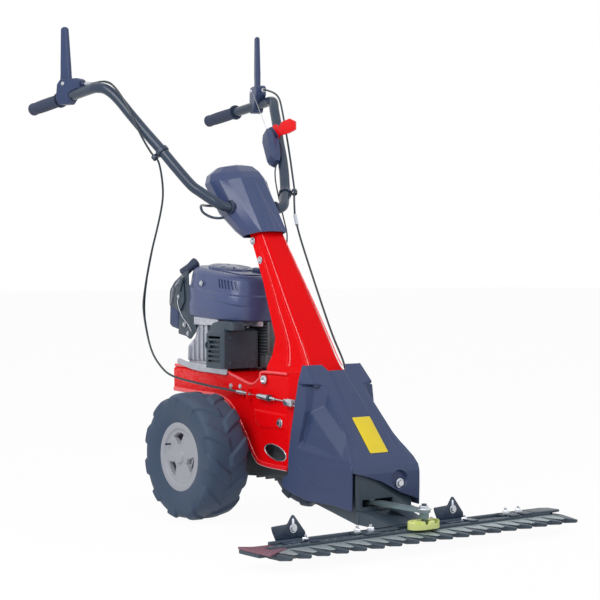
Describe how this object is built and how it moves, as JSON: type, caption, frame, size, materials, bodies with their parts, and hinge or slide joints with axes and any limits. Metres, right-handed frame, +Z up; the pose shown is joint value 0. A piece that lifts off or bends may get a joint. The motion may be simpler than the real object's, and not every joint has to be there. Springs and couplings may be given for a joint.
{
  "type": "motor mower",
  "caption": "Walk-behind petrol mower with a front finger bar and sliding knife, two lugged wheels, red chassis and mast, dark cover and hood, and a tilting handlebar.",
  "frame": {"origin": "middle of the whole machine's box, on the ground", "axes": "+X forward to the finger bar, +Y to the machine's left, +Z up"},
  "size_m": [1.4594, 0.934, 1.336],
  "materials": {
    "red_paint": "gloss",
    "black_plastic": "satin",
    "black_coat": "satin",
    "tyre": "matte",
    "rim_grey": "satin",
    "steel": "satin",
    "dark_steel": "satin",
    "cast_aluminium": "satin",
    "head_green": "satin",
    "knob_red": "gloss",
    "rubber": "matte"
  },
  "bodies": {
    "machine": {"chassis_shell": "red_paint", "mast": "red_paint", "handle_head": "dark_steel", "hood": "black_plastic", "front_cover": "black_plastic", "gearbox_housing": "cast_aluminium", "bar_carrier": "dark_steel", "finger_bar": "dark_steel", "bar_mount_plate": "dark_steel", "skid_bracket_right": "dark_steel", "skid_bracket_left": "dark_steel", "knife_clamp_left": "dark_steel", "crankcase": "cast_aluminium", "cylinder": "cast_aluminium", "engine_shroud": "black_plastic", "recoil_cover": "black_plastic", "air_filter_box": "black_plastic", "muffler": "dark_steel", "muffler_guard": "black_coat", "chassis_bolt": "steel", "drive_belt": "rubber", "axle_shaft": "steel", "drive_cable": "black_coat", "knife_cable": "black_coat", "throttle_cable": "black_coat"},
    "wheel_right": {"tyre_right": "tyre", "rim_right": "rim_grey", "hub_right": "steel"},
    "wheel_left": {"tyre_left": "tyre", "rim_left": "rim_grey", "hub_left": "steel"},
    "handlebar": {"handle_tube_right": "black_coat", "handle_tube_left": "black_coat", "grip_right": "rubber", "grip_left": "rubber", "lever_bracket_right": "black_plastic", "lever_bracket_left": "black_plastic", "throttle_box": "black_plastic", "cable_clip_right": "black_coat", "cable_clip_left": "black_coat", "stop_wire": "steel"},
    "drive_lever": {"lever_right": "black_plastic"},
    "knife_lever": {"lever_left": "black_plastic"},
    "throttle": {"throttle_knob": "knob_red"},
    "bail": {"tilt_bail": "black_coat"},
    "knife_set": {"knife": "steel", "knife_head": "head_green"},
    "arm": {"drive_arm": "steel"},
    "right_skid": {"skid_right": "dark_steel"},
    "left_skid": {"skid_left": "dark_steel"},
    "starter": {"starter_grip": "black_plastic"},
    "filler_cap": {"fuel_cap": "black_plastic"},
    "link": {"drive_link": "steel"},
    "crank": {"crankshaft": "steel", "crank_pulley": "steel", "flywheel": "cast_aluminium"},
    "driven": {"drive_pulley": "steel"},
    "idler": {"idler_arm": "steel", "idler_pulley": "steel"}
  },
  "joints": [
    {"name": "wheel_right_spin", "type": "hinge", "parent": "machine", "child": "wheel_right", "pos_m": [-0.0423, -0.165, 0.165], "axis": [0, 1, 0], "continuous": true},
    {"name": "wheel_left_spin", "type": "hinge", "parent": "machine", "child": "wheel_left", "pos_m": [-0.0423, 0.231, 0.165], "axis": [0, 1, 0], "continuous": true},
    {"name": "handle_tilt", "type": "hinge", "parent": "machine", "child": "handlebar", "pos_m": [-0.0663, 0.033, 0.81], "axis": [0, 1, 0], "range_deg": [-12, 12], "deforming": ["drive_cable", "knife_cable", "throttle_cable"]},
    {"name": "drive_lever_pull", "type": "hinge", "parent": "handlebar", "child": "drive_lever", "pos_m": [-0.5283, -0.273, 1.16], "axis": [0.3746, -0.9272, 0], "range_deg": [0, 50], "stiffness_Nm_per_rad": 1.5, "springref_deg": -11.46},
    {"name": "knife_lever_pull", "type": "hinge", "parent": "handlebar", "child": "knife_lever", "pos_m": [-0.4663, 0.335, 1.174], "axis": [-0.3746, -0.9272, 0], "range_deg": [0, 50], "stiffness_Nm_per_rad": 1.5, "springref_deg": -11.46, "deforming": ["stop_wire"]},
    {"name": "throttle_turn", "type": "hinge", "parent": "handlebar", "child": "throttle", "pos_m": [-0.24906, 0.22818, 1.02176], "axis": [0, -1, 0], "range_deg": [0, 45]},
    {"name": "tilt_release", "type": "hinge", "parent": "machine", "child": "bail", "pos_m": [-0.0723, 0.033, 0.783], "axis": [0, 1, 0], "range_deg": [0, 8], "stiffness_Nm_per_rad": 2, "springref_deg": -8.59},
    {"name": "knife_stroke", "type": "slide", "parent": "machine", "child": "knife_set", "axis": [0, 1, 0], "range_m": [-0.0254, 0.0254]},
    {"name": "arm_swing", "type": "hinge", "parent": "machine", "child": "arm", "pos_m": [0.4477, 0.01, 0.095], "axis": [0, 0, 1], "range_deg": [-7.5, 7.5]},
    {"name": "skid_right_height", "type": "slide", "parent": "machine", "child": "right_skid", "axis": [0, 0, 1], "range_m": [-0.006, 0.018]},
    {"name": "skid_left_height", "type": "slide", "parent": "machine", "child": "left_skid", "axis": [0, 0, 1], "range_m": [-0.006, 0.018]},
    {"name": "starter_pull", "type": "slide", "parent": "machine", "child": "starter", "axis": [-0.6, -0.3, 0.7416], "range_m": [0, 0.25], "stiffness_N_per_m": 15, "springref_m": -0.1},
    {"name": "fuel_cap_turn", "type": "hinge", "parent": "machine", "child": "filler_cap", "pos_m": [-0.1003, 0.075, 0.6374], "axis": [0.1386, 0, 0.9903], "range_deg": [0, 90]},
    {"name": "drive_link_pull", "type": "slide", "parent": "machine", "child": "link", "axis": [-0.9983, 0, 0.0579], "range_m": [0, 0.0125]},
    {"name": "crank_spin", "type": "hinge", "parent": "machine", "child": "crank", "pos_m": [-0.1673, 0.033, 0.325], "axis": [0, 0, 1], "continuous": true},
    {"name": "drive_pulley_spin", "type": "hinge", "parent": "machine", "child": "driven", "pos_m": [0.0577, 0.033, 0.325], "axis": [0, 0, 1], "continuous": true},
    {"name": "idler_swing", "type": "hinge", "parent": "machine", "child": "idler", "pos_m": [-0.0323, 0.115, 0.325], "axis": [0, 0, -1], "range_deg": [0, 11.5]}
  ],
  "couplings": [
    {"joint": "arm_swing", "follows": "knife_stroke", "rad_per_m": 5},
    {"joint": "drive_link_pull", "follows": "drive_lever_pull", "m_per_rad": 0.014},
    {"joint": "idler_swing", "follows": "drive_lever_pull", "ratio": 0.22},
    {"joint": "drive_pulley_spin", "follows": "crank_spin", "ratio": 0.5667}
  ]
}
